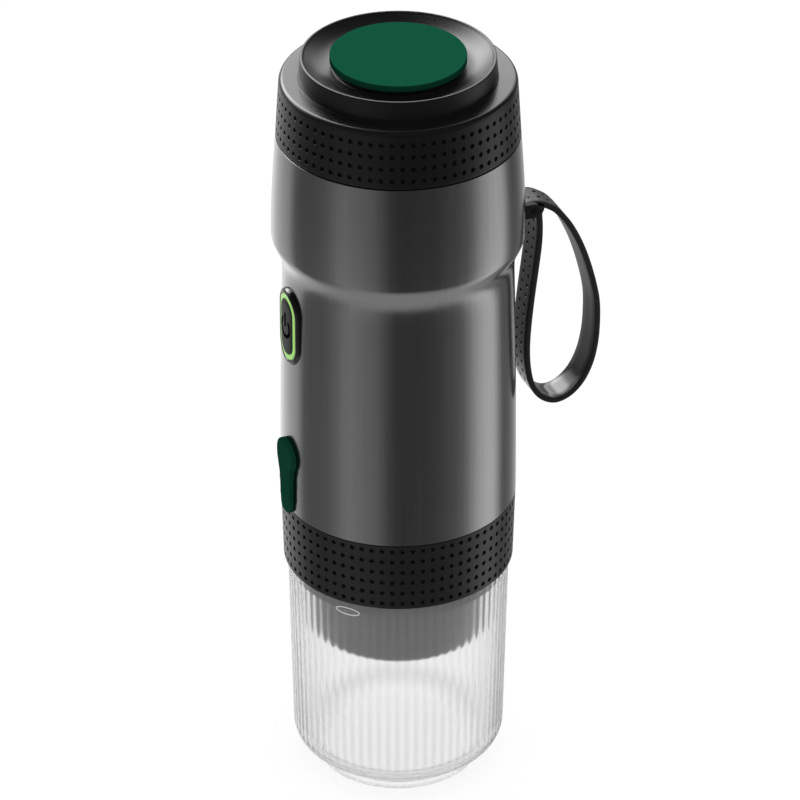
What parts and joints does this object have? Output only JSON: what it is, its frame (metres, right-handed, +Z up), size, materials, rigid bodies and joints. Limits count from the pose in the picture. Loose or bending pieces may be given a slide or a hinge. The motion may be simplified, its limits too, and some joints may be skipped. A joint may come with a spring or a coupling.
{
  "type": "portable coffee maker",
  "caption": "Upright travel espresso machine: ribbed clear cup, capsule barrel, metal body with pump, heater and button, dimpled grip bands, screw lid and wrist strap.",
  "frame": {"origin": "centre of the cup's foot, on the surface the maker stands on", "axes": "+Z up along the maker's axis; -Y towards the front with button and charging port; +Y towards the strap"},
  "size_m": [0.073, 0.0984, 0.235],
  "materials": {
    "clear_cup": "clear, ribbed",
    "black_plastic": "fine matte",
    "grip_rubber": "matte, dimpled",
    "dark_seal": "smooth",
    "red_seal": "smooth",
    "pale_seal": "smooth",
    "gunmetal": "dark satin",
    "green_metal": "green satin",
    "steel": "brushed",
    "black_steel": "blackened",
    "heater_metal": "cast",
    "chassis_plastic": "moulded",
    "brass": "turned",
    "cell_wrap": "shrink wrapped",
    "board": "lacquered",
    "pump_plastic": "moulded",
    "tube_silicone": "translucent",
    "barrel_grey": "satin",
    "gloss_black": "polished",
    "lime_light": "lit",
    "button_face": "satin",
    "white_plastic": "moulded",
    "liner_plastic": "moulded",
    "green_rubber": "matte",
    "strap_rubber": "matte, perforated"
  },
  "bodies": {
    "cup": {"cup": "clear_cup"},
    "main_body": {"cup_seal": "dark_seal", "lower_collar": "black_plastic", "lower_grip_band": "grip_rubber", "collar_screws": "steel", "body_shell": "gunmetal", "neck_ring": "black_plastic", "water_tank": "steel", "tank_gasket": "dark_seal", "heater_plate": "heater_metal", "temperature_sensor": "black_plastic", "chassis_lower": "chassis_plastic", "chassis_upper": "chassis_plastic", "chassis_pillars": "brass", "battery_cells": "cell_wrap", "control_board": "board", "tact_switch": "chassis_plastic", "usb_port": "steel", "motor_can": "steel", "idler_pin": "steel", "pump_body": "pump_plastic", "pump_cover": "pump_plastic", "pump_screws": "steel", "feed_tube": "tube_silicone", "outlet_tube": "steel", "shower_plate": "steel", "piercing_needle": "steel", "button_bezel": "gloss_black", "light_ring": "lime_light", "cover_peg": "green_rubber", "strap_lug": "black_plastic", "strap_pin": "black_steel"},
    "lid_seal_ring": {"lid_seal": "pale_seal"},
    "lid": {"lid_cap": "black_plastic", "lid_grip_band": "grip_rubber", "lid_disc": "green_metal", "lid_liner": "liner_plastic", "lid_screws": "steel"},
    "brew_seal_ring": {"brew_seal": "red_seal"},
    "brew_head": {"brew_barrel": "barrel_grey", "capsule_cradle": "steel", "outlet_screen": "steel", "spout": "black_plastic"},
    "button": {"button_cap": "button_face", "switch_plunger": "white_plastic"},
    "port_flap": {"port_cover": "green_rubber"},
    "wrist_strap": {"strap": "strap_rubber"},
    "rotor": {"motor_shaft": "steel", "drive_gear": "brass"},
    "idler": {"driven_gear": "brass"}
  },
  "joints": [
    {"name": "body_lift", "type": "slide", "parent": "cup", "child": "main_body", "axis": [0, 0, 1], "range_m": [0, 0.05]},
    {"name": "lid_lift", "type": "slide", "parent": "main_body", "child": "lid_seal_ring", "axis": [0, 0, 1], "range_m": [0, 0.04]},
    {"name": "lid_turn", "type": "hinge", "parent": "lid_seal_ring", "child": "lid", "pos_m": [0, 0, 0.2186], "axis": [0, 0, 1], "range_deg": [0, 120]},
    {"name": "brew_lower", "type": "slide", "parent": "main_body", "child": "brew_seal_ring", "axis": [0, 0, -1], "range_m": [0, 0.025]},
    {"name": "brew_turn", "type": "hinge", "parent": "brew_seal_ring", "child": "brew_head", "pos_m": [0, 0, 0.0844], "axis": [0, 0, 1], "range_deg": [0, 60]},
    {"name": "button_press", "type": "slide", "parent": "main_body", "child": "button", "axis": [0, 1, 0], "range_m": [0, 0.0007], "stiffness_N_per_m": 2000},
    {"name": "cover_open", "type": "hinge", "parent": "main_body", "child": "port_flap", "pos_m": [0, -0.0353, 0.0918], "axis": [1, 0, 0], "range_deg": [0, 110]},
    {"name": "strap_swing", "type": "hinge", "parent": "main_body", "child": "wrist_strap", "pos_m": [0, 0.03925, 0.1793], "axis": [1, 0, 0], "range_deg": [0, 75]},
    {"name": "pump_spin", "type": "hinge", "parent": "main_body", "child": "rotor", "pos_m": [0, 0, 0.103], "axis": [0, 0, 1], "continuous": true},
    {"name": "idler_spin", "type": "hinge", "parent": "main_body", "child": "idler", "pos_m": [0, -0.00805, 0.103], "axis": [0, 0, 1], "continuous": true}
  ],
  "couplings": [
    {"joint": "idler_spin", "follows": "pump_spin", "ratio": -1}
  ]
}
